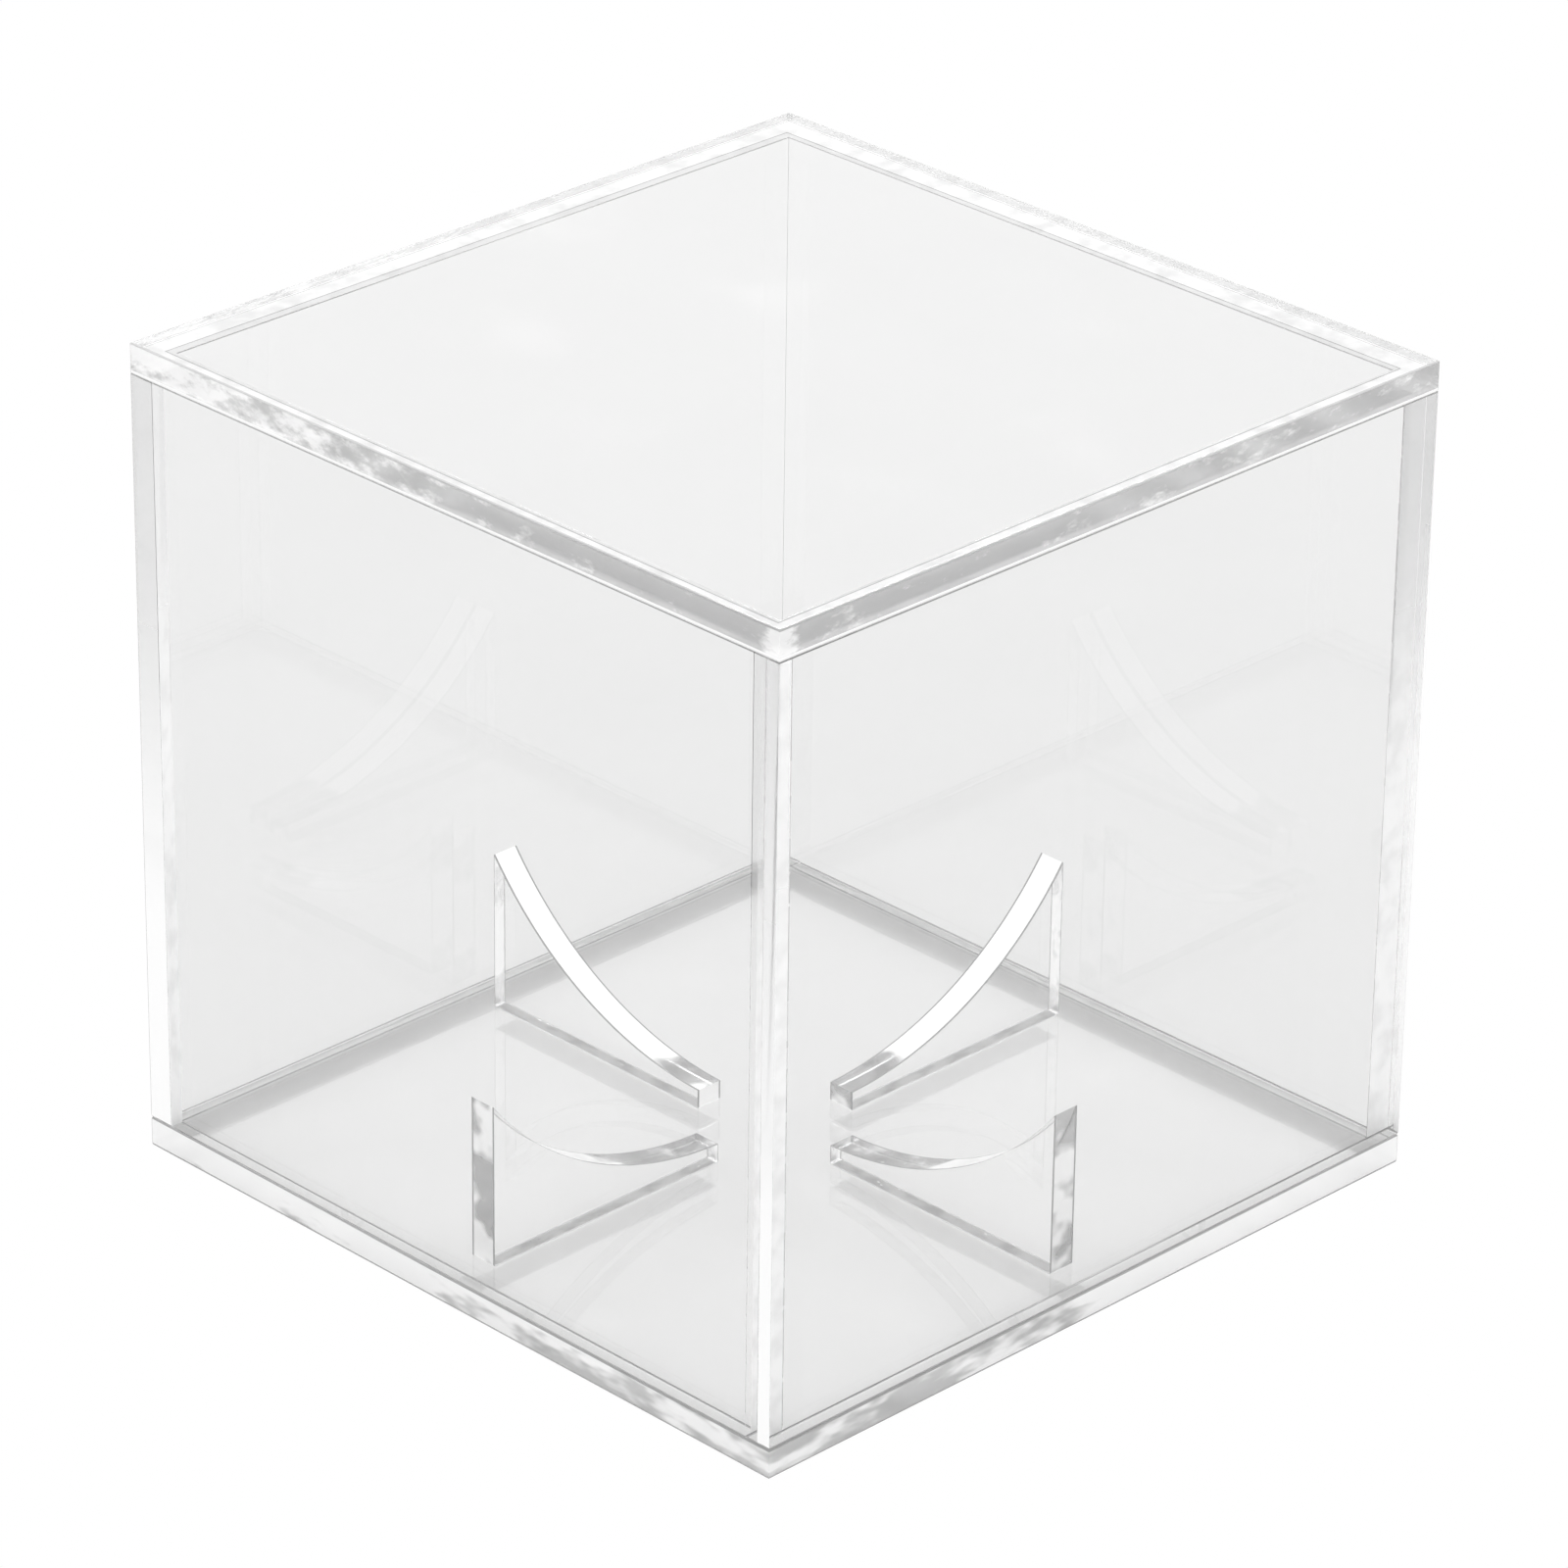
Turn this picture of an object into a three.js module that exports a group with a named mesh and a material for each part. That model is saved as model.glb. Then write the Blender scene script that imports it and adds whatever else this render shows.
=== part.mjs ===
// Clear acrylic display cube for one ball, in millimetres, +Z up.
// The origin is the middle of the underside, where the cube stands.
//
// A base plate carries four cradle ribs that hold the ball off the plate. A five-panel
// cover stands loose on the plate and lifts straight off it. All pieces are cut from one
// thickness of sheet. The ribs are cemented to the base plate, and the side panels to
// each other and to the top panel, so a thin bond line separates cemented pieces.
import * as THREE from 'three';

// Driving dimensions
const SIDE = 84;
const HEIGHT = 83;
const SHEET = 3;
const BOND_LINE = 0.05;
const REST_GAP = 0.05;
const BALL_RADIUS = 37;

// Cradle ribs, measured outward from the middle of the cube
const RIB_TIP_RADIUS = 7.4;
const RIB_END_RADIUS = 36;
const RIB_TIP_HEIGHT = 2;
const RIB_ARC_OFFSET = 6.5;
const RIB_ARC_STEPS = 48;

const HALF_SIDE = SIDE / 2;
const HALF_SHEET = SHEET / 2;
const INNER_HALF = HALF_SIDE - SHEET;
const PANEL_BOTTOM = SHEET + REST_GAP;
const PANEL_TOP = HEIGHT - SHEET - BOND_LINE;

function acrylic(color) {
  return new THREE.MeshStandardMaterial({
    color,
    roughness: 0.03,
    metalness: 0,
    transparent: true,
    opacity: 0.3,
  });
}

function namedMesh(name, geometry, color) {
  const mesh = new THREE.Mesh(geometry, acrylic(color));
  mesh.name = name;
  return mesh;
}

// A flat panel that fills the box between two opposite corners.
function panel(name, low, high, color) {
  const size = high.map((value, axis) => value - low[axis]);
  const mesh = namedMesh(name, new THREE.BoxGeometry(...size), color);
  mesh.position.set(...low.map((value, axis) => value + size[axis] / 2));
  return mesh;
}

// The rib's outline lies in a plane through the cube's axis: x runs outward, y is height.
// Its upper edge is one hollow arc of the ball's radius, from the outer end to the tip.
function ribOutline() {
  const foot = SHEET + BOND_LINE;
  const tipTop = SHEET + RIB_TIP_HEIGHT;
  const tipReach = RIB_TIP_RADIUS - RIB_ARC_OFFSET;
  const endReach = RIB_END_RADIUS - RIB_ARC_OFFSET;
  const arcCentreHeight = tipTop + Math.sqrt(BALL_RADIUS ** 2 - tipReach ** 2);
  const endAngle = -Math.acos(endReach / BALL_RADIUS);
  const tipAngle = -Math.acos(tipReach / BALL_RADIUS);

  const outline = new THREE.Shape();
  outline.moveTo(RIB_TIP_RADIUS, foot);
  outline.lineTo(RIB_END_RADIUS, foot);
  outline.absarc(RIB_ARC_OFFSET, arcCentreHeight, BALL_RADIUS, endAngle, tipAngle, true);
  outline.closePath();
  return outline;
}

// Extruded along its own thickness, the rib is stood upright and turned to its direction.
function cradleRib(name, direction, color) {
  const geometry = new THREE.ExtrudeGeometry(ribOutline(), {
    depth: SHEET,
    bevelEnabled: false,
    curveSegments: RIB_ARC_STEPS,
  });
  geometry.translate(0, 0, -HALF_SHEET);
  geometry.rotateX(Math.PI / 2);
  geometry.rotateZ(direction);
  return namedMesh(name, geometry, color);
}

const displayCube = new THREE.Group();

function addBase() {
  displayCube.add(panel(
    'base_plate',
    [-HALF_SIDE, -HALF_SIDE, 0],
    [HALF_SIDE, HALF_SIDE, SHEET],
    0xe9edee,
  ));
  const ribs = ['cradle_rib_right', 'cradle_rib_rear', 'cradle_rib_left', 'cradle_rib_front'];
  ribs.forEach((name, quarter) => {
    displayCube.add(cradleRib(name, quarter * Math.PI / 2, 0xf4f6f7));
  });
}

function addCover() {
  // The front and rear panels run the full width; the left and right ones fit between them.
  const sideReach = INNER_HALF - BOND_LINE;
  for (const [name, side] of [['front_panel', -1], ['rear_panel', 1]]) {
    const edges = [side * INNER_HALF, side * HALF_SIDE].sort((a, b) => a - b);
    displayCube.add(panel(
      name,
      [-HALF_SIDE, edges[0], PANEL_BOTTOM],
      [HALF_SIDE, edges[1], PANEL_TOP],
      0xebeff0,
    ));
  }
  for (const [name, side] of [['left_panel', -1], ['right_panel', 1]]) {
    const edges = [side * INNER_HALF, side * HALF_SIDE].sort((a, b) => a - b);
    displayCube.add(panel(
      name,
      [edges[0], -sideReach, PANEL_BOTTOM],
      [edges[1], sideReach, PANEL_TOP],
      0xebeff0,
    ));
  }
  displayCube.add(panel(
    'top_panel',
    [-HALF_SIDE, -HALF_SIDE, HEIGHT - SHEET],
    [HALF_SIDE, HALF_SIDE, HEIGHT],
    0xf4f6f7,
  ));
}

addBase();
addCover();

export default displayCube;
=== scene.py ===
"""Looks of the clear display cube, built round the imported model."""

import math

import bmesh
import bpy
from mathutils import Matrix, Vector


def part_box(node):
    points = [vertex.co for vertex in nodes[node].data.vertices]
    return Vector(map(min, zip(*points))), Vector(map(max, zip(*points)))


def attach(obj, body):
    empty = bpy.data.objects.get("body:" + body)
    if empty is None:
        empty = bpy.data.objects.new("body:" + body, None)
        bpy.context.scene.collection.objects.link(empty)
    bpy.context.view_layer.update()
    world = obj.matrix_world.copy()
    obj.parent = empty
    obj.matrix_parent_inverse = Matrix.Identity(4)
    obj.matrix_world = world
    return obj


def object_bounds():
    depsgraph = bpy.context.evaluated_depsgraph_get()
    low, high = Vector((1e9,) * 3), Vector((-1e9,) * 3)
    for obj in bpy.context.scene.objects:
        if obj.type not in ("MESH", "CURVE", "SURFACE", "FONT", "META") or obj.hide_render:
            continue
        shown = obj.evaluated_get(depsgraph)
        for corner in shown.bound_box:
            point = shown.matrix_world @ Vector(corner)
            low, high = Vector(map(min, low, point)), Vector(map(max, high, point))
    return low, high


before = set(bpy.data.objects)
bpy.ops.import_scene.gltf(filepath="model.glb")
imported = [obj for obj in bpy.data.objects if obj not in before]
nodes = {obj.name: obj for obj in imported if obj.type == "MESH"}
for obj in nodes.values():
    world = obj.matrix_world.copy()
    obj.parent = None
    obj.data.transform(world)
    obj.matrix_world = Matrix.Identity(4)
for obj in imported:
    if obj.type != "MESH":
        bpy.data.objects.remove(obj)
cad_low, cad_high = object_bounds()

MM = 0.001
scene = bpy.context.scene

# The cube's own measures, read from the frame
SIDE = cad_high.x - cad_low.x
CENTRE = (cad_low + cad_high) / 2
BASE_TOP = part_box("base_plate")[1].z
TOP_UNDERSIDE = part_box("top_panel")[0].z
WALL_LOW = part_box("front_panel")[0].z
WALL_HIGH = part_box("front_panel")[1].z
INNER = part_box("right_panel")[0].x
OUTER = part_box("right_panel")[1].x
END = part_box("right_panel")[1].y
MID_WALL = (INNER + OUTER) / 2
RIB_LOW, RIB_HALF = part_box("cradle_rib_right")[0].z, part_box("cradle_rib_right")[1].y

# Clear sheet. Its eased edges show as thin painted grey lines, partly frosted: painted shade
# standing in for the darker surroundings that a rounded edge shows
ACRYLIC_IOR = 1.49
PANEL_EASE = 0.19 * MM
RIB_EASE = 0.18 * MM
EASE_SEGMENTS = 2
SHARP_ANGLE = math.radians(30)
WELD = 0.002 * MM
ON_LINE, JOINT_MARGIN, CORNER_MARGIN = 0.08 * MM, 0.1 * MM, 0.2 * MM
EASED_LESS_UNDER_TOP = 0.6
LINE_FROST = 0.8
TOP_LINE_PAINTED_SHADE, BASE_LINE_PAINTED_SHADE, WALL_LINE_PAINTED_SHADE, RIB_LINE_PAINTED_SHADE = 0.55, 0.42, 0.32, 0.30
# Widths of the painted grey outlines: along the top face's outer edge, at the foot of the base's
# cut edges and along the ribs' cut edges
TOP_LINE, TOP_LINE_DEPTH = 0.2 * MM, 0.1 * MM
BASE_LINE = 0.26 * MM
RIB_LINE = 0.2 * MM
LAMP_LEAK = 0.1

# How each cut edge is finished: its roughness, and the depth and stretch of its marks
PLATE_EDGE = {"rough": 0.2, "bump": 0.02 * MM, "streaks": (1, 1, 0.12)}
WALL_EDGE = {"rough": 0.06, "bump": 0.003 * MM, "streaks": (1, 1, 0.12)}
RIB_EDGE = {"rough": 0.15, "bump": 0.02 * MM, "streaks": (0.5, 0.5, 0.5)}
EDGE_MARKS = {"scale": 190.0, "detail": 4.0, "roughness": 0.6, "turn": (18, -14, 9)}
EDGE_PATCHES = {"scale": 120.0, "detail": 3.0, "roughness": 0.55}
EDGE_PATCH_SPAN, EDGE_PATCH_LEAST = (0.35, 0.7), 0.5

# The clear faces: how hazy and how wavy they are
FACE_HAZE = {"scale": 55.0, "detail": 3.0, "stretch": (1, 1, 0.45), "turn": (0, 24, 31)}
FACE_HAZE_SPAN, FACE_ROUGH = (0.45, 0.8), 0.02
FACE_WAVE, FACE_WAVE_HEIGHT = {"scale": 26.0, "detail": 1.0}, 0.006 * MM

# Where a normal's size along an axis tells an edge, an eased corner or a square face
EDGE_SPAN = (0.3, 0.75)
EASED_SPAN = (0.93, 0.995)
SQUARE_SPAN = (0.97, 0.99)
UNDERSIDE_SPAN = (0.7, 0.9)
RIB_FACE_SPAN = (0.02, 0.12)
RIB_ARC_SPAN = (0.1, 0.3)

# The blotches on the cut edges: frost, and on the top and base plates a painted grey shade
BASE_BLOTCH = {"scale": 85.0, "detail": 3.0, "stretch": (1, 1, 3.4), "turn": (26, -26, 0)}
TOP_BLOTCH = {"scale": 230.0, "detail": 4.0, "stretch": (1, 1, 2.2), "turn": (40, -40, 0)}
RIB_BLOTCH = {"scale": 210.0, "detail": 2.0, "stretch": (1, 1, 1.1)}
BASE_BLOTCH_ROUGH, TOP_BLOTCH_ROUGH = 0.55, 0.65

# What a blotch's noise becomes, as the noise's span and then the result's
# The base's tone is painted grey shade, standing in for the darker surroundings its edge band shows
BASE_PAINTED_SHADE, BASE_WHITE = ((0.46, 0.57), (0.68, 1.0)), ((0.46, 0.60), (0.45, 0.85))
# The top's tone is painted grey shade, standing in for the darker surroundings its edge band shows
TOP_PAINTED_SHADE, TOP_WHITE = ((0.58, 0.80), (0.52, 0.98)), ((0.58, 0.80), (0.38, 0.65))
RIB_END_TONE, RIB_END_WHITE = ((0.43, 0.57), (0.52, 1.0)), ((0.42, 0.6), (0.25, 0.75))
RIB_ARC_TONE, RIB_ARC_WHITE = ((0.5, 0.72), (0.6, 1.0)), ((0.5, 0.72), (0.1, 0.85))

# How the blotches change along the cut edges
CLEAR_CORNERS = (18 * MM, 62 * MM)
BASE_CORNER_LIFT = 0.26
TOP_CORNER_LIFT = (0.24, 0.06)
TOP_LIFT_SPAN = (-20 * MM, 30 * MM)
TOP_TIP, TOP_TIP_LIFT = (80.8 * MM, 83.5 * MM), 0.3
TOP_CEMENT_LINE = (0.3 * MM + TOP_UNDERSIDE, 0.42 * MM + TOP_UNDERSIDE)
CUT_FROST = 0.7
# Painted grey shade at the top of the front and rear panels' left ends
LEFT_END_PAINTED_SHADE = 0.82
INWARD_MARGIN = 0.5 * MM
RIB_SCUFFS, RIB_SCUFF_LIFT = (16 * MM, 29 * MM), 0.5
REAR_RIB_REACH, REAR_RIB_LIFT, RIB_MIDWAY = 6 * MM, 0.1, 20 * MM
FRONT_ARC_TONE = 0.84
RIB_FOOT = 0.3 * MM

# Cement: bubbles and margins under the ribs, and how far down the upright joints it is white
BUBBLE_CELLS, BUBBLE_SIZE = 1100.0, 0.26
BUBBLE_CROWDS, BUBBLE_SPAN = 0.23, (0.45, 0.7)
FOOT_RIM = 0.25 * MM
FOOT_INSET = 0.2 * MM
RUN_DOWN = (24 * MM, 72 * MM)
UPPER_RESIDUE = 0.04
CEMENT_CLOUD, CEMENT_CLOUD_SPAN = {"scale": 420.0, "detail": 4.0}, (0.3, 0.6)
CEMENT_SHARE = 0.25
WHITE_CEMENT, BORDER_CEMENT, THIN_CEMENT = (0.71, 0.82), (0.26, 0.36), (0.64, 0.70)
# The grey clear tone is a painted shade over the upper part of the right front joint
UPRIGHT_CEMENT, CLEAR_TONE, GREY_PAINTED_SHADE = (0.9, 0.99), 1.0, 0.9
# The foot cement's dark grey is painted shade, for the shaded table seen through the feet
FOOT_CEMENT_AND_SHADE, FOOT_PASSES = (0.30, 0.42), 0.9
BEAD_CLOUD = {"scale": 260.0, "detail": 3.0}
BEAD_TONE, BEAD_ROUGH = ((0.35, 0.65), (0.55, 0.7)), ((0.3, 0.7), (0.1, 0.4))
BEAD_CLEARNESS = 0.5
BEAD_SIZE = 0.09 * MM
BEAD_HOLLOW = 0.35
BEAD_GAP, BEAD_SHORT_LOW, BEAD_SHORT_HIGH = 0.012 * MM, 0.3 * MM, 0.2 * MM
SEAM_SHORT_LOW, SEAM_SHORT_HIGH = 0.1 * MM, 0.05 * MM
FLUSH_MARGIN = 0.02 * MM
FILM_GAP = 0.01 * MM
FILM_MARGIN = 0.06 * MM

# Where the cement under the top panel stopped: x, y, x, y
SEAM_STOPS = tuple(stop * MM for stop in (-39.5, -39.3, 39.75, 40.0))
SEAM_BORDER = 0.11 * MM

# Studio: the sky's brightness, the lamp and the table
SKY_FRONT, SKY_BACK, SKY_HORIZON = 1.35, 0.95, 0.88
SKY_SPAN = (-0.9, 0.5)
HORIZON_SPAN = (0.06, 0.34)
KEY_SIZE, KEY_POWER, KEY_DISTANCE = 0.24, 7.0, 1.2
KEY_AZIMUTH, KEY_ELEVATION = 45.0, 53.0
TABLE_HALF = 3.0
TABLE_DROP = 0.05 * MM
TABLE_GRAIN = {"scale": 40.0, "detail": 3.0}
TABLE_TONE = ((0.2, 0.8), (0.535, 0.545))
TABLE_ROUGH = 0.03
TABLE_IOR = 1.5

# Camera: a long lens, from over the front left corner
LENS_MM, SENSOR_MM = 176.0, 36.0
CAMERA_AZIMUTH, CAMERA_ELEVATION, CAMERA_ROLL = -134.93, 26.33, 0.766
CAMERA_DISTANCE = 8.4835 * SIDE
CAMERA_CLIP = (0.01, 20.0)
CAMERA_AIM = CENTRE + Vector((-0.0036, -0.0113, -0.0213)) * SIDE


# ---------------------------------------------------------------- node helpers
def new_material(name):
    material = bpy.data.materials.new(name)
    material.use_nodes = True
    tree = material.node_tree
    tree.nodes.clear()
    return material, tree


def plug(tree, socket, value):
    """Links value into the socket, or sets it there where it is a plain number."""
    if isinstance(value, bpy.types.NodeSocket):
        tree.links.new(value, socket)
    else:
        socket.default_value = value


def math_node(tree, operation, *values):
    made = tree.nodes.new("ShaderNodeMath")
    made.operation = operation
    for socket, value in zip(made.inputs, values):
        plug(tree, socket, value)
    return made.outputs[0]


def both(tree, first, *others):
    """The product of masks or numbers: 1 where every one is 1."""
    for value in others:
        first = math_node(tree, "MULTIPLY", first, value)
    return first


def either(tree, first, *others):
    """The largest of masks or numbers: 1 where any one is 1."""
    for value in others:
        first = math_node(tree, "MAXIMUM", first, value)
    return first


def plus(tree, first, second):
    return math_node(tree, "ADD", first, second)


def inverse(tree, mask):
    return math_node(tree, "SUBTRACT", 1.0, mask)


def ramp(tree, value, span, result=(0.0, 1.0)):
    """Takes value smoothly from one span to another, and holds it past both ends."""
    made = tree.nodes.new("ShaderNodeMapRange")
    made.interpolation_type = "SMOOTHSTEP"
    tree.links.new(value, made.inputs["Value"])
    for name, limit in zip(("From Min", "From Max", "To Min", "To Max"), (*span, *result)):
        made.inputs[name].default_value = limit
    return made.outputs["Result"]


def lerp(tree, factor, low, high):
    """low where factor is 0 and high where it is 1, as a number."""
    made = tree.nodes.new("ShaderNodeMix")
    made.data_type = "FLOAT"
    for slot, value in ((0, factor), (2, low), (3, high)):
        plug(tree, made.inputs[slot], value)
    return made.outputs[0]


def grey(tree, value):
    """A neutral colour of that brightness."""
    made = tree.nodes.new("ShaderNodeCombineColor")
    for slot in range(3):
        tree.links.new(value, made.inputs[slot])
    return made.outputs[0]


def along_axes(tree, vector):
    made = tree.nodes.new("ShaderNodeSeparateXYZ")
    tree.links.new(vector, made.inputs[0])
    return {axis: made.outputs[axis] for axis in "XYZ"}


def noise(tree, vector, scale, detail=2.0, roughness=0.5, stretch=None, turn=(0, 0, 0)):
    if stretch is not None:
        vector = scaled_position(tree, vector, stretch, turn)
    made = tree.nodes.new("ShaderNodeTexNoise")
    tree.links.new(vector, made.inputs["Vector"])
    made.inputs["Scale"].default_value = scale
    made.inputs["Detail"].default_value = detail
    made.inputs["Roughness"].default_value = roughness
    return made.outputs["Fac"]


def scaled_position(tree, position, scale, turn=(0, 0, 0)):
    made = tree.nodes.new("ShaderNodeMapping")
    tree.links.new(position, made.inputs["Vector"])
    made.inputs["Scale"].default_value = scale
    made.inputs["Rotation"].default_value = [math.radians(angle) for angle in turn]
    return made.outputs["Vector"]


def mix_shaders(tree, factor, first, second):
    made = tree.nodes.new("ShaderNodeMixShader")
    plug(tree, made.inputs[0], factor)
    tree.links.new(first, made.inputs[1])
    tree.links.new(second, made.inputs[2])
    return made.outputs[0]


def for_light(tree, surface, through):
    """Puts the shader through in place of surface for shadow rays and soft bounces."""
    path = tree.nodes.new("ShaderNodeLightPath")
    for ray in ("Is Shadow Ray", "Is Diffuse Ray"):
        surface = mix_shaders(tree, path.outputs[ray], surface, through)
    return surface


def output(tree, surface):
    made = tree.nodes.new("ShaderNodeOutputMaterial")
    tree.links.new(surface, made.inputs["Surface"])


# ------------------------------------------------------------- acrylic materials
class Sheet:
    """The masks and maps that every clear sheet's material is built from.

    A normal turns towards the viewer where a face is met from inside the sheet, so masks
    go by the size of the normal along an axis, and by the position.
    """

    def __init__(self, name, thin_axis):
        self.material, self.tree = new_material(name)
        tree = self.tree
        place = tree.nodes.new("ShaderNodeTexCoord")
        self.position = place.outputs["Object"]
        self.at = along_axes(tree, self.position)
        facing = along_axes(tree, place.outputs["Normal"])
        self.size = {axis: math_node(tree, "ABSOLUTE", facing[axis]) for axis in "XYZ"}
        self.away = {axis: math_node(tree, "ABSOLUTE", self.at[axis]) for axis in "XYZ"}
        self.edge = ramp(tree, self.size[thin_axis], EDGE_SPAN, (1.0, 0.0))
        widest = either(tree, *(self.size[axis] for axis in "XYZ"))
        self.arris = ramp(tree, widest, EASED_SPAN, (1.0, 0.0))
        self.inside = tree.nodes.new("ShaderNodeNewGeometry").outputs["Backfacing"]
        self.bonded = None
        self.outline = None
        self.painted_line_shade = TOP_LINE_PAINTED_SHADE

    def square_to(self, axis, span=SQUARE_SPAN):
        """1 where the surface lies square to the axis, from whichever side it is met."""
        return ramp(self.tree, self.size[axis], span)

    def above(self, height):
        return math_node(self.tree, "GREATER_THAN", self.at["Z"], height)

    def below(self, height):
        return math_node(self.tree, "LESS_THAN", self.at["Z"], height)

    def past(self, axis, limit):
        """1 where the point is further out than limit along the axis."""
        return math_node(self.tree, "GREATER_THAN", self.away[axis], limit)

    def short_of(self, axis, limit):
        """1 where the point is further in than limit along the axis."""
        return math_node(self.tree, "LESS_THAN", self.away[axis], limit)

    def roughness(self, patches, rough):
        """A faint haze on the faces, and patches on the cut edges."""
        tree = self.tree
        haze = noise(tree, self.position, **FACE_HAZE)
        face = ramp(tree, haze, FACE_HAZE_SPAN, (0.0, FACE_ROUGH))
        cut = ramp(tree, patches, EDGE_PATCH_SPAN, (EDGE_PATCH_LEAST * rough, rough))
        return lerp(tree, self.edge, face, cut)

    def relief(self, patches, bump, streaks):
        """A slight waviness on the faces, and saw marks on the cut edges."""
        tree = self.tree
        marks = noise(tree, self.position, stretch=streaks, **EDGE_MARKS)
        wave = noise(tree, self.position, **FACE_WAVE)
        made = tree.nodes.new("ShaderNodeBump")
        made.inputs["Distance"].default_value = 1.0
        height = lerp(
            tree,
            self.edge,
            both(tree, wave, FACE_WAVE_HEIGHT),
            both(tree, plus(tree, marks, patches), bump),
        )
        tree.links.new(height, made.inputs["Height"])
        return made.outputs["Normal"]

    def finish(self, tone, white, rough, bump, streaks, blocks=None):
        """Builds the shader; tone and white map the cut edge's tint and its frost. The tint is a
        painted grey shade on the top's and base's edges and on the left ends, and the eased edges
        and outlines get a painted grey line.

        blocks is 1 where the surface holds back a lamp's light.
        """
        tree = self.tree
        link = tree.links.new
        shader = tree.nodes.new("ShaderNodeBsdfPrincipled")
        patches = noise(tree, self.position, **EDGE_PATCHES)
        link(self.roughness(patches, rough), shader.inputs["Roughness"])
        link(self.relief(patches, bump, streaks), shader.inputs["Normal"])
        # The line's grey is painted shade, for the darker surroundings that a rounded edge shows
        line = self.arris if self.outline is None else either(tree, self.arris, self.outline)
        tint = lerp(tree, line, lerp(tree, self.edge, 1.0, tone), self.painted_line_shade)
        solid = either(tree, both(tree, self.edge, white), both(tree, line, LINE_FROST))
        if self.bonded is None:
            shader.inputs["IOR"].default_value = ACRYLIC_IOR
        else:
            solid = both(tree, solid, inverse(tree, self.bonded))
            tint = lerp(tree, self.bonded, tint, 1.0)
            link(lerp(tree, self.bonded, ACRYLIC_IOR, 1.0), shader.inputs["IOR"])
        link(grey(tree, tint), shader.inputs["Base Color"])
        link(inverse(tree, solid), shader.inputs["Transmission Weight"])
        clear_to_light(tree, shader, blocks)
        return self.material


def clear_to_light(tree, shader, blocks=None):
    """Lets lamps through the clear shader, except where blocks is 1."""
    through = tree.nodes.new("ShaderNodeBsdfTransparent")
    if blocks is not None:
        passed = lerp(tree, blocks, 1.0, LAMP_LEAK)
        tree.links.new(grey(tree, passed), through.inputs["Color"])
    output(tree, for_light(tree, shader.outputs[0], through.outputs[0]))


def bubbles(sheet):
    """1 in small round voids of the cement, 0 elsewhere."""
    tree = sheet.tree
    flat = scaled_position(tree, sheet.position, (1, 1, 0))
    dots = tree.nodes.new("ShaderNodeTexVoronoi")
    tree.links.new(flat, dots.inputs["Vector"])
    dots.inputs["Scale"].default_value = BUBBLE_CELLS
    dots.inputs["Randomness"].default_value = 1.0
    spread = noise(tree, flat, BUBBLE_CELLS * BUBBLE_CROWDS)
    limit = ramp(tree, spread, BUBBLE_SPAN, (0.0, BUBBLE_SIZE))
    return math_node(tree, "LESS_THAN", dots.outputs["Distance"], limit)


def foot_mask(sheet):
    """1 on the plan of the four rib feet, a little in from their edges, bubbles apart."""
    tree = sheet.tree
    low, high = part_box("cradle_rib_right")
    marks = [
        both(
            tree,
            sheet.past(along, low.x + FOOT_RIM),
            sheet.short_of(along, high.x - FOOT_RIM),
            sheet.short_of(across, high.y - FOOT_RIM),
        )
        for along, across in ("XY", "YX")
    ]
    return both(tree, either(tree, *marks), inverse(tree, bubbles(sheet)))


def side_corners(sheet):
    """1 by the rear left and front right corners, falling to 0 by the other two."""
    along = plus(sheet.tree, sheet.at["X"], sheet.at["Y"])
    return ramp(sheet.tree, math_node(sheet.tree, "ABSOLUTE", along), CLEAR_CORNERS, (1.0, 0.0))


def base_material():
    sheet = Sheet("acrylic_base", "Z")
    tree = sheet.tree
    sheet.bonded = both(tree, foot_mask(sheet), sheet.square_to("Z"), sheet.above(BASE_TOP / 2))
    blotch = noise(tree, sheet.position, roughness=BASE_BLOTCH_ROUGH, **BASE_BLOTCH)
    blotch = plus(tree, blotch, both(tree, side_corners(sheet), BASE_CORNER_LIFT))
    sheet.outline = both(tree, sheet.edge, sheet.below(BASE_LINE))
    sheet.painted_line_shade = BASE_LINE_PAINTED_SHADE
    # Painted grey shade and frost on the cut edges
    tone, white = ramp(tree, blotch, *BASE_PAINTED_SHADE), ramp(tree, blotch, *BASE_WHITE)
    return sheet.finish(tone, white, **PLATE_EDGE)


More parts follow.
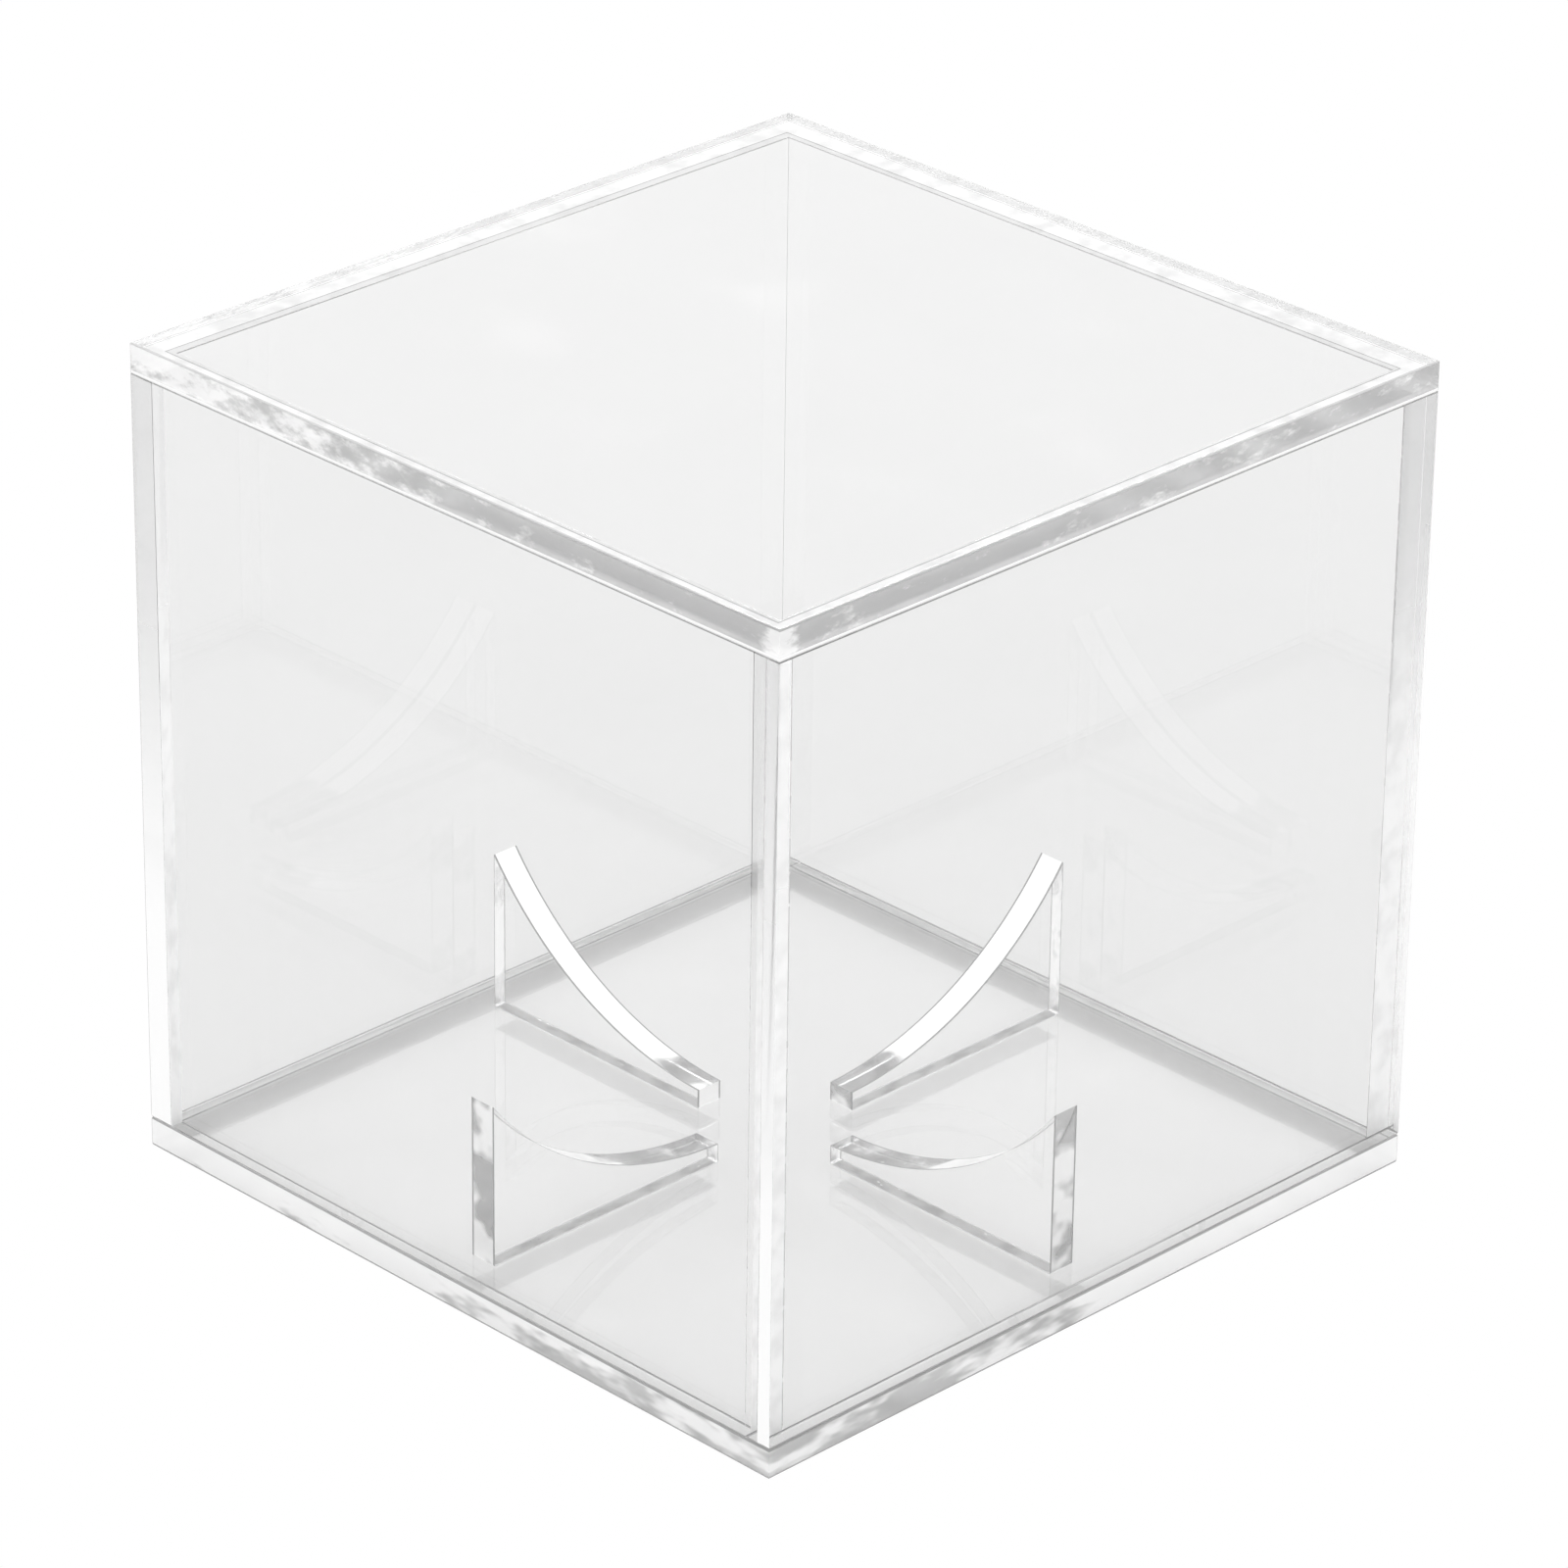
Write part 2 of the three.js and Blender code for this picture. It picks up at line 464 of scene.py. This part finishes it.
def top_material():
    """The top: blotched edges with a painted grey shade, whiter towards the left, over a white line
    of cement.
    """
    sheet = Sheet("acrylic_top", "Z")
    tree = sheet.tree
    rim = either(tree, sheet.past("X", INNER), sheet.past("Y", INNER))
    middle = (TOP_UNDERSIDE + cad_high.z) / 2
    sheet.bonded = both(tree, rim, sheet.square_to("Z"), sheet.below(middle))
    blotch = noise(tree, sheet.position, roughness=TOP_BLOTCH_ROUGH, **TOP_BLOTCH)
    sideways = math_node(tree, "SUBTRACT", sheet.at["X"], sheet.at["Y"])
    lift = both(tree, side_corners(sheet), ramp(tree, sideways, TOP_LIFT_SPAN, TOP_CORNER_LIFT))
    blotch = plus(tree, blotch, lift)
    forward = both(tree, plus(tree, sheet.at["X"], sheet.at["Y"]), -1.0)
    blotch = plus(tree, blotch, both(tree, ramp(tree, forward, TOP_TIP), TOP_TIP_LIFT))
    cemented = ramp(tree, sheet.at["Z"], TOP_CEMENT_LINE, (1.0, 0.0))
    # Painted grey shade on the edge band, but white on the cement line
    tone = either(tree, cemented, ramp(tree, blotch, *TOP_PAINTED_SHADE))
    white = either(tree, cemented, ramp(tree, blotch, *TOP_WHITE))
    border = either(tree, *(sheet.past(axis, OUTER - TOP_LINE) for axis in "XY"))
    sheet.outline = both(tree, border, sheet.above(cad_high.z - TOP_LINE_DEPTH))
    return sheet.finish(tone, white, **PLATE_EDGE)


def run_down(tree, height):
    """More cement and more scuffs towards the bottom of an upright joint, and less painted grey
    shade on the left ends.
    """
    return ramp(tree, height, RUN_DOWN, (1.0, 0.0))


def wall_material(name, thin_axis):
    """A side panel: cut edges show only where they aren't cemented to another sheet.

    Met from outside, its underside is frosted, because a clear one would mirror the
    inside of the wall many times over.
    """
    sheet = Sheet(name, thin_axis)
    tree = sheet.tree
    lower_half = sheet.below((WALL_LOW + WALL_HIGH) / 2)
    underside = both(tree, sheet.square_to("Z", UNDERSIDE_SPAN), lower_half)
    cut = both(tree, underside, inverse(tree, sheet.inside))
    if thin_axis == "X":
        ends = sheet.square_to("Y")
        frost, tone = 0.0, 1.0
    else:
        inward = sheet.short_of("Y", INNER + INWARD_MARGIN)
        ends = both(tree, inward, sheet.past("X", INNER), sheet.square_to("Y"))
        left = math_node(tree, "LESS_THAN", sheet.at["X"], 0.0)
        rear = math_node(tree, "GREATER_THAN", sheet.at["Y"], 0.0)
        front_face = math_node(tree, "LESS_THAN", sheet.at["Y"], -MID_WALL)
        down = run_down(tree, sheet.at["Z"])
        frost = both(tree, either(tree, both(tree, rear, left), front_face), down)
        # The left ends get a painted grey shade, darkest at the top
        tone = lerp(tree, left, 1.0, lerp(tree, down, LEFT_END_PAINTED_SHADE, 1.0))
    joined = either(tree, sheet.square_to("Z"), ends)
    sheet.bonded = both(tree, joined, inverse(tree, cut))
    sheet.painted_line_shade = WALL_LINE_PAINTED_SHADE
    return sheet.finish(tone, lerp(tree, cut, frost, CUT_FROST), blocks=underside, **WALL_EDGE)


def rib_material(name, thin_axis):
    """A rib: blotched cut ends, and an arc that is scuffed grey towards its tip."""
    sheet = Sheet(name, thin_axis)
    tree = sheet.tree
    across = sheet.size[thin_axis]
    sheet.arris = both(
        tree, ramp(tree, across, RIB_FACE_SPAN), ramp(tree, across, EASED_SPAN, (1.0, 0.0))
    )
    sheet.outline = both(tree, sheet.edge, sheet.past(thin_axis, RIB_HALF - RIB_LINE))
    sheet.painted_line_shade = RIB_LINE_PAINTED_SHADE
    foot = sheet.below(RIB_LOW + RIB_FOOT)
    sheet.bonded = both(tree, foot_mask(sheet), sheet.square_to("Z"), foot)
    arc = both(tree, ramp(tree, sheet.size["Z"], RIB_ARC_SPAN), inverse(tree, foot))

    blotch = noise(tree, sheet.position, **RIB_BLOTCH)
    rear = math_node(tree, "GREATER_THAN", sheet.at["Y" if thin_axis == "X" else "X"], 0.0)
    reach = either(tree, sheet.away["X"], sheet.away["Y"])
    reach = plus(tree, reach, both(tree, rear, REAR_RIB_REACH))
    scuffed = plus(tree, blotch, ramp(tree, reach, RIB_SCUFFS, (0.0, RIB_SCUFF_LIFT)))
    outer_end = both(tree, rear, math_node(tree, "GREATER_THAN", reach, RIB_MIDWAY))
    end = plus(tree, blotch, both(tree, outer_end, REAR_RIB_LIFT))
    end_tone, end_white = ramp(tree, end, *RIB_END_TONE), ramp(tree, end, *RIB_END_WHITE)
    arc_white = ramp(tree, scuffed, *RIB_ARC_WHITE)
    arc_tone = both(
        tree, ramp(tree, scuffed, *RIB_ARC_TONE), lerp(tree, rear, FRONT_ARC_TONE, 1.0)
    )
    tone, white = lerp(tree, arc, end_tone, arc_tone), lerp(tree, arc, end_white, arc_white)
    return sheet.finish(tone, white, **RIB_EDGE)


# -------------------------------------------------------------- cement materials
def cement(name, tones, clear_tone=None, passes=0.0):
    """A film of cement: it scatters light both ways and hides what is under it.

    tones are its darkest and lightest. With a clear_tone it thins out upwards to clear
    cement of that tone, and passes is how much of a lamp's light goes through it.
    """
    material, tree = new_material(name)
    place = tree.nodes.new("ShaderNodeTexCoord")
    cloud = noise(tree, place.outputs["Object"], **CEMENT_CLOUD)
    tone = grey(tree, ramp(tree, cloud, CEMENT_CLOUD_SPAN, tones))
    front = tree.nodes.new("ShaderNodeBsdfDiffuse")
    tree.links.new(tone, front.inputs["Color"])
    back = tree.nodes.new("ShaderNodeBsdfTranslucent")
    tree.links.new(tone, back.inputs["Color"])
    surface = mix_shaders(tree, CEMENT_SHARE, front.outputs[0], back.outputs[0])
    if clear_tone is not None:
        clear = tree.nodes.new("ShaderNodeBsdfTransparent")
        clear.inputs["Color"].default_value = (clear_tone, clear_tone, clear_tone, 1)
        height = along_axes(tree, place.outputs["Object"])["Z"]
        amount = lerp(tree, run_down(tree, height), UPPER_RESIDUE, 1.0)
        surface = mix_shaders(tree, amount, clear.outputs[0], surface)
    if passes:
        through = tree.nodes.new("ShaderNodeBsdfTransparent")
        through.inputs["Color"].default_value = (passes, passes, passes, 1)
        surface = for_light(tree, surface, through.outputs[0])
    output(tree, surface)
    return material


def bead_cement(name):
    """The bead of cement squeezed out into an inside corner."""
    material, tree = new_material(name)
    place = tree.nodes.new("ShaderNodeTexCoord")
    cloud = noise(tree, place.outputs["Object"], **BEAD_CLOUD)
    shader = tree.nodes.new("ShaderNodeBsdfPrincipled")
    tree.links.new(grey(tree, ramp(tree, cloud, *BEAD_TONE)), shader.inputs["Base Color"])
    tree.links.new(ramp(tree, cloud, *BEAD_ROUGH), shader.inputs["Roughness"])
    shader.inputs["IOR"].default_value = ACRYLIC_IOR
    shader.inputs["Transmission Weight"].default_value = BEAD_CLEARNESS
    clear_to_light(tree, shader)
    return material


# ------------------------------------------------------- shading and soft edges
def edge_weights(group):
    """How far each edge is eased: none inside a joint or at the front upright corner."""
    where = group.nodes.new("GeometryNodeInputPosition")
    at = along_axes(group, where.outputs[0])
    x, y = (math_node(group, "ABSOLUTE", at[axis]) for axis in "XY")

    def near(value, target):
        gap = math_node(group, "ABSOLUTE", math_node(group, "SUBTRACT", value, target))
        return math_node(group, "LESS_THAN", gap, ON_LINE)

    at_corner = math_node(group, "GREATER_THAN", x, INNER - JOINT_MARGIN)
    in_joint = both(group, at_corner, near(y, INNER))
    forward = plus(group, at["X"], at["Y"])
    front_corner = math_node(group, "LESS_THAN", forward, CORNER_MARGIN - 2 * OUTER)
    less = both(group, near(at["Z"], TOP_UNDERSIDE), EASED_LESS_UNDER_TOP)
    return both(group, inverse(group, in_joint), inverse(group, less), inverse(group, front_corner))


def welded_shading():
    """A modifier's nodes: join the triangles' corners, shade by angle and weigh the edges."""
    group = bpy.data.node_groups.new("welded_shading", "GeometryNodeTree")
    for in_out in ("INPUT", "OUTPUT"):
        group.interface.new_socket(
            "Geometry", in_out=in_out, socket_type="NodeSocketGeometry"
        )
    start = group.nodes.new("NodeGroupInput")
    end = group.nodes.new("NodeGroupOutput")
    drop = group.nodes.new("GeometryNodeRemoveAttribute")
    drop.inputs["Name"].default_value = "custom_normal"
    weld = group.nodes.new("GeometryNodeMergeByDistance")
    weld.inputs["Distance"].default_value = WELD
    smooth_faces = group.nodes.new("GeometryNodeSetShadeSmooth")
    smooth_faces.domain = "FACE"
    smooth_edges = group.nodes.new("GeometryNodeSetShadeSmooth")
    smooth_edges.domain = "EDGE"
    angle = group.nodes.new("GeometryNodeInputMeshEdgeAngle").outputs["Unsigned Angle"]
    soft = math_node(group, "LESS_THAN", angle, SHARP_ANGLE)
    store = group.nodes.new("GeometryNodeStoreNamedAttribute")
    store.data_type = "FLOAT"
    store.domain = "EDGE"
    store.inputs["Name"].default_value = "bevel_weight_edge"
    group.links.new(soft, smooth_edges.inputs["Shade Smooth"])
    weight = both(group, inverse(group, soft), edge_weights(group))
    group.links.new(weight, store.inputs["Value"])
    geometry = start.outputs[0]
    for step in (drop, weld, smooth_faces, smooth_edges, store):
        group.links.new(geometry, step.inputs["Geometry"])
        geometry = step.outputs["Geometry"]
    group.links.new(geometry, end.inputs[0])
    return group


def dress(name, material, width, shading):
    """Gives a CAD node its material, welds its shading and eases its edges."""
    ob = nodes[name]
    ob.data.materials.clear()
    ob.data.materials.append(material)
    modifier = ob.modifiers.new("shading", "NODES")
    modifier.node_group = shading
    bevel = ob.modifiers.new("eased_edges", "BEVEL")
    bevel.width = width
    bevel.segments = EASE_SEGMENTS
    bevel.limit_method = "WEIGHT"
    bevel.harden_normals = True


def dress_all():
    shading = welded_shading()
    side_sheet = wall_material("acrylic_side", "X")
    front_sheet = wall_material("acrylic_front", "Y")
    rib_across_y = rib_material("acrylic_rib_y", "Y")
    rib_across_x = rib_material("acrylic_rib_x", "X")
    for name, material, width in (
        ("base_plate", base_material(), PANEL_EASE),
        ("top_panel", top_material(), PANEL_EASE),
        ("left_panel", side_sheet, PANEL_EASE),
        ("right_panel", side_sheet, PANEL_EASE),
        ("front_panel", front_sheet, PANEL_EASE),
        ("rear_panel", front_sheet, PANEL_EASE),
        ("cradle_rib_right", rib_across_y, RIB_EASE),
        ("cradle_rib_left", rib_across_y, RIB_EASE),
        ("cradle_rib_rear", rib_across_x, RIB_EASE),
        ("cradle_rib_front", rib_across_x, RIB_EASE),
    ):
        dress(name, material, width, shading)


# ----------------------------------------------------------------- cement pieces
def object_from_bmesh(name, bm, material):
    mesh = bpy.data.meshes.new(name)
    bm.to_mesh(mesh)
    bm.free()
    mesh.materials.append(material)
    ob = bpy.data.objects.new(name, mesh)
    scene.collection.objects.link(ob)
    return ob


def cement_piece(name, bm, material, body):
    bmesh.ops.recalc_face_normals(bm, faces=bm.faces)
    ob = object_from_bmesh(name, bm, material)
    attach(ob, body)


def prism(bm, plan, low, high):
    """A closed upright prism on a plan of (x, y) points."""
    floor, roof = ([bm.verts.new((x, y, z)) for x, y in plan] for z in (low, high))
    bm.faces.new(floor[::-1])
    bm.faces.new(roof)
    for k in range(len(plan)):
        n = (k + 1) % len(plan)
        bm.faces.new((floor[k], floor[n], roof[n], roof[k]))


def rectangle(x_low, y_low, x_high, y_high):
    return ((x_low, y_low), (x_high, y_low), (x_high, y_high), (x_low, y_high))


def flat_ring(bm, outer, inner, low, high):
    """A closed flat ring between two rectangles, each given as (x, y, x, y)."""
    loops = [
        [bm.verts.new((x, y, z)) for x, y in rectangle(*side)]
        for side, z in ((outer, low), (outer, high), (inner, high), (inner, low))
    ]
    for ring, following in zip(loops, loops[1:] + loops[:1]):
        for k in range(4):
            n = (k + 1) % 4
            bm.faces.new((ring[k], ring[n], following[n], following[k]))


def top_seam():
    """The cement under the top panel: white, a thin grey border, and clear inside that."""
    low, high = WALL_HIGH + FILM_GAP, TOP_UNDERSIDE - FILM_GAP
    reach, flush = OUTER - FILM_MARGIN, INNER + FLUSH_MARGIN
    border = tuple(stop - math.copysign(SEAM_BORDER, stop) for stop in SEAM_STOPS)
    outside = (-reach, -reach, reach, reach)
    inside = (-flush, -flush, flush, flush)
    for name, film, outer, inner in (
        ("seam_top", cement("cement_white", WHITE_CEMENT), outside, SEAM_STOPS),
        ("seam_top_border", cement("cement_border", BORDER_CEMENT), SEAM_STOPS, border),
        ("seam_top_inner", cement("cement_thin", THIN_CEMENT), border, inside),
    ):
        bm = bmesh.new()
        flat_ring(bm, outer, inner, low, high)
        cement_piece(name, bm, film, "cover")


def upright_beads():
    """The bead of cement squeezed out into the front inside corners."""
    film = bead_cement("cement_bead")
    corner = INNER - BEAD_GAP
    tip, hollow = corner - BEAD_SIZE, corner - BEAD_SIZE * BEAD_HOLLOW
    plan = ((corner, corner), (tip, corner), (hollow, hollow), (corner, tip))
    for side, sign in (("left", -1), ("right", 1)):
        bm = bmesh.new()
        placed = [(sign * x, -y) for x, y in plan]
        prism(bm, placed, WALL_LOW + BEAD_SHORT_LOW, TOP_UNDERSIDE - BEAD_SHORT_HIGH)
        cement_piece(f"bead_{side}_front", bm, film, "cover")


def upright_seams():
    """The cement in three of the upright joints, whiter towards the bottom where it ran down.
    Higher up, the right front joint's clear cement carries a painted grey shade.
    """
    clear = cement("cement_upright", UPRIGHT_CEMENT, clear_tone=CLEAR_TONE)
    tinted = cement("cement_upright_painted_grey", UPRIGHT_CEMENT, clear_tone=GREY_PAINTED_SHADE)
    all_the_way = OUTER - FILM_MARGIN
    for side, sx, face, sy, film, reach in (
        ("left", -1, "front", -1, clear, MID_WALL),
        ("left", -1, "rear", 1, clear, all_the_way),
        ("right", 1, "front", -1, tinted, all_the_way),
    ):
        bm = bmesh.new()
        xs = sorted((sx * (INNER + FLUSH_MARGIN), sx * reach))
        ys = sorted((sy * (END + FILM_GAP), sy * (INNER - FILM_GAP)))
        plan = rectangle(xs[0], ys[0], xs[1], ys[1])
        prism(bm, plan, WALL_LOW + SEAM_SHORT_LOW, WALL_HIGH - SEAM_SHORT_HIGH)
        cement_piece(f"seam_{side}_{face}", bm, film, "cover")


def rib_feet():
    """The cement under each rib, short of the foot's edges, dark grey with painted shade."""
    film = cement("cement_foot_and_shade", FOOT_CEMENT_AND_SHADE, passes=FOOT_PASSES)
    for name in ("right", "rear", "left", "front"):
        low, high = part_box(f"cradle_rib_{name}")
        plan = rectangle(
            low.x + FOOT_INSET, low.y + FOOT_INSET, high.x - FOOT_INSET, high.y - FOOT_INSET
        )
        bm = bmesh.new()
        prism(bm, plan, BASE_TOP + FILM_GAP, RIB_LOW - FILM_GAP)
        cement_piece(f"foot_{name}", bm, film, "base")


# ------------------------------------------------------------- studio and camera
def direction(azimuth, elevation):
    """The unit vector towards an azimuth and elevation, in degrees."""
    azimuth, elevation = math.radians(azimuth), math.radians(elevation)
    level = math.cos(elevation)
    return Vector(
        (math.cos(azimuth) * level, math.sin(azimuth) * level, math.sin(elevation))
    )


def studio_floor():
    """A pale table: white where the camera sees it bare, lit and shaded where it shows through."""
    material, tree = new_material("table")
    place = tree.nodes.new("ShaderNodeTexCoord")
    grain = noise(tree, place.outputs["Object"], **TABLE_GRAIN)
    table = tree.nodes.new("ShaderNodeBsdfPrincipled")
    tree.links.new(grey(tree, ramp(tree, grain, *TABLE_TONE)), table.inputs["Base Color"])
    table.inputs["Roughness"].default_value = TABLE_ROUGH
    table.inputs["IOR"].default_value = TABLE_IOR
    glow = tree.nodes.new("ShaderNodeEmission")
    bare = tree.nodes.new("ShaderNodeLightPath").outputs["Is Camera Ray"]
    output(tree, mix_shaders(tree, bare, table.outputs[0], glow.outputs[0]))
    bm = bmesh.new()
    bmesh.ops.create_grid(bm, x_segments=2, y_segments=2, size=TABLE_HALF)
    ob = object_from_bmesh("table_top", bm, material)
    ob.location = (0, 0, cad_low.z - TABLE_DROP)


def studio_sky():
    """A pale sky: brighter in front, greyer at the horizon, and white to the camera."""
    world = bpy.data.worlds.new("studio")
    scene.world = world
    world.use_nodes = True
    tree = world.node_tree
    place = tree.nodes.new("ShaderNodeTexCoord")
    towards = along_axes(tree, place.outputs["Generated"])
    behind = plus(tree, towards["X"], towards["Y"])
    sky = ramp(tree, behind, SKY_SPAN, (SKY_FRONT, SKY_BACK))
    sky = lerp(tree, ramp(tree, towards["Z"], HORIZON_SPAN), SKY_HORIZON, sky)
    seen = tree.nodes.new("ShaderNodeLightPath").outputs["Is Camera Ray"]
    sky = lerp(tree, seen, sky, 1.0)
    tree.links.new(grey(tree, sky), tree.nodes["Background"].inputs["Color"])


def studio_lamp():
    key = bpy.data.lights.new("key", "AREA")
    key.shape = "DISK"
    key.size = KEY_SIZE
    key.energy = KEY_POWER
    lamp = bpy.data.objects.new("key", key)
    towards = direction(KEY_AZIMUTH, KEY_ELEVATION)
    lamp.location = towards * KEY_DISTANCE
    lamp.rotation_mode = "QUATERNION"
    lamp.rotation_quaternion = (-towards).to_track_quat("-Z", "Y")
    scene.collection.objects.link(lamp)


def camera():
    """The photograph's viewing angle."""
    back = direction(CAMERA_AZIMUTH, CAMERA_ELEVATION)
    data = bpy.data.cameras.new("camera")
    data.sensor_width = SENSOR_MM
    data.lens = LENS_MM
    data.clip_start, data.clip_end = CAMERA_CLIP
    ob = bpy.data.objects.new("camera", data)
    roll = Matrix.Rotation(math.radians(CAMERA_ROLL), 3, "Z")
    turned = (-back).to_track_quat("-Z", "Y").to_matrix() @ roll
    place = Matrix.Translation(CAMERA_AIM + back * CAMERA_DISTANCE)
    ob.matrix_world = place @ turned.to_4x4()
    scene.collection.objects.link(ob)
    scene.camera = ob


dress_all()
top_seam()
upright_beads()
upright_seams()
rib_feet()
studio_floor()
studio_sky()
studio_lamp()
camera()

# A path that a clear sheet's faces guide along it needs many bounces
scene.view_settings.view_transform = "Standard"
scene.cycles.use_denoising = True
scene.cycles.max_bounces = 36
scene.cycles.transmission_bounces = 32
scene.cycles.glossy_bounces = 24
scene.cycles.diffuse_bounces = 3
scene.cycles.transparent_max_bounces = 28
scene.cycles.caustics_refractive = True
scene.cycles.caustics_reflective = True
scene.cycles.blur_glossy = 0.0
